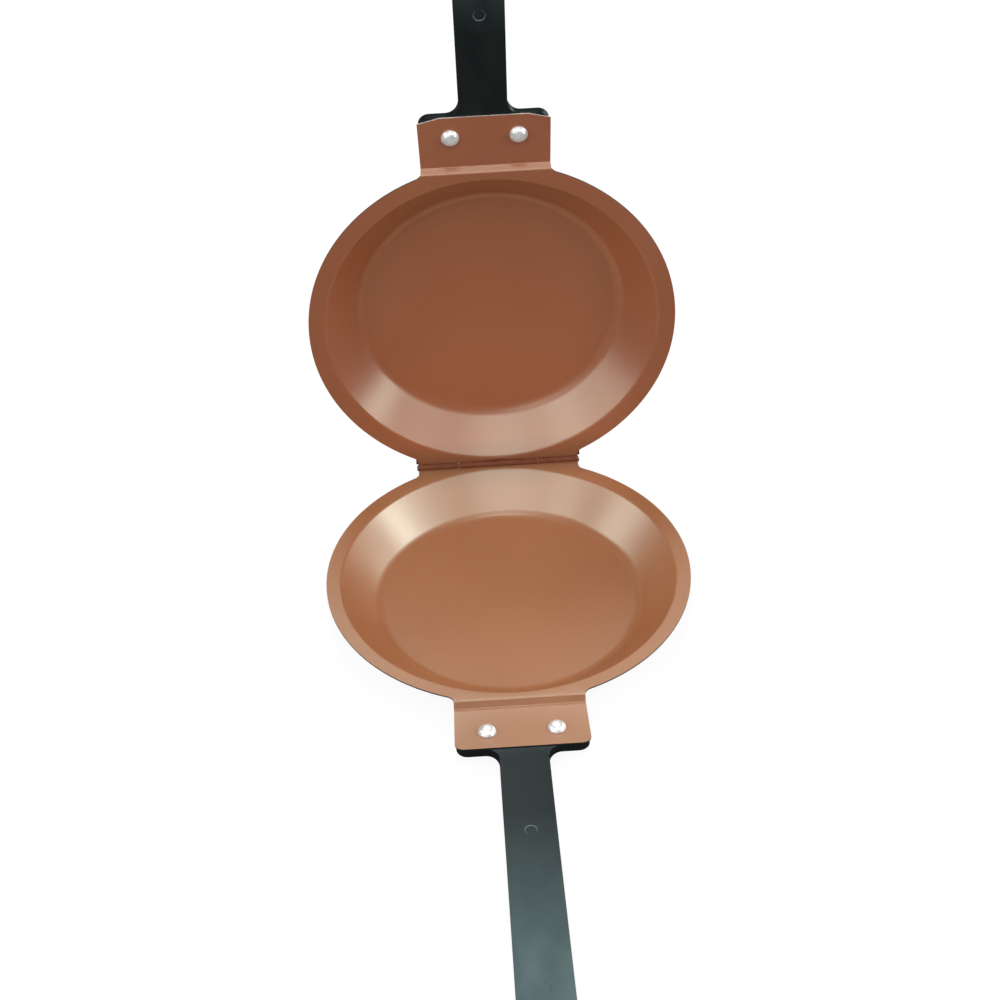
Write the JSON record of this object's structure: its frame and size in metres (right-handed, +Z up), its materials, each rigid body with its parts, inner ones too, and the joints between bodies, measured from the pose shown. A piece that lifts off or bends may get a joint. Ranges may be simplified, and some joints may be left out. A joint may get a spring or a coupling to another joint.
{
  "type": "double sided flip pan",
  "caption": "Two shallow round pans with flat flanges, joined by a rolled hinge on a pin, each with a long black handle riveted under a tab; shown standing open.",
  "frame": {"origin": "centre of the lower pan's flat base, on the surface that it stands on", "axes": "+X along the hinge, to the right seen from the lower handle; -Y from the lower pan towards its handle, with the hinge at +Y; +Z up, out of the lower bowl"},
  "size_m": [0.2, 0.4635, 0.4323],
  "materials": {
    "pan_coating": "copper-coloured non-stick coating, satin, over pressed steel sheet; black enamel outside",
    "handle_plastic": "moulded heat-proof plastic, semi-matt black",
    "rivet_aluminium": "bright, lightly dented from setting",
    "pin_steel": "drawn steel wire and plain washers"
  },
  "bodies": {
    "lower_half": {"lower_pan": "pan_coating", "hinge_pin": "pin_steel", "lower_handle": "handle_plastic", "lower_rivet_left": "rivet_aluminium", "lower_rivet_right": "rivet_aluminium", "lower_washer_left": "pin_steel", "lower_washer_right": "pin_steel"},
    "upper_half": {"upper_pan": "pan_coating", "upper_handle": "handle_plastic", "upper_rivet_left": "rivet_aluminium", "upper_rivet_right": "rivet_aluminium", "upper_washer_left": "pin_steel", "upper_washer_right": "pin_steel"}
  },
  "joints": [
    {"name": "pan_hinge", "type": "hinge", "parent": "lower_half", "child": "upper_half", "pos_m": [0, 0.095, 0.019], "axis": [1, 0, 0], "range_deg": [0, 94.5]}
  ]
}
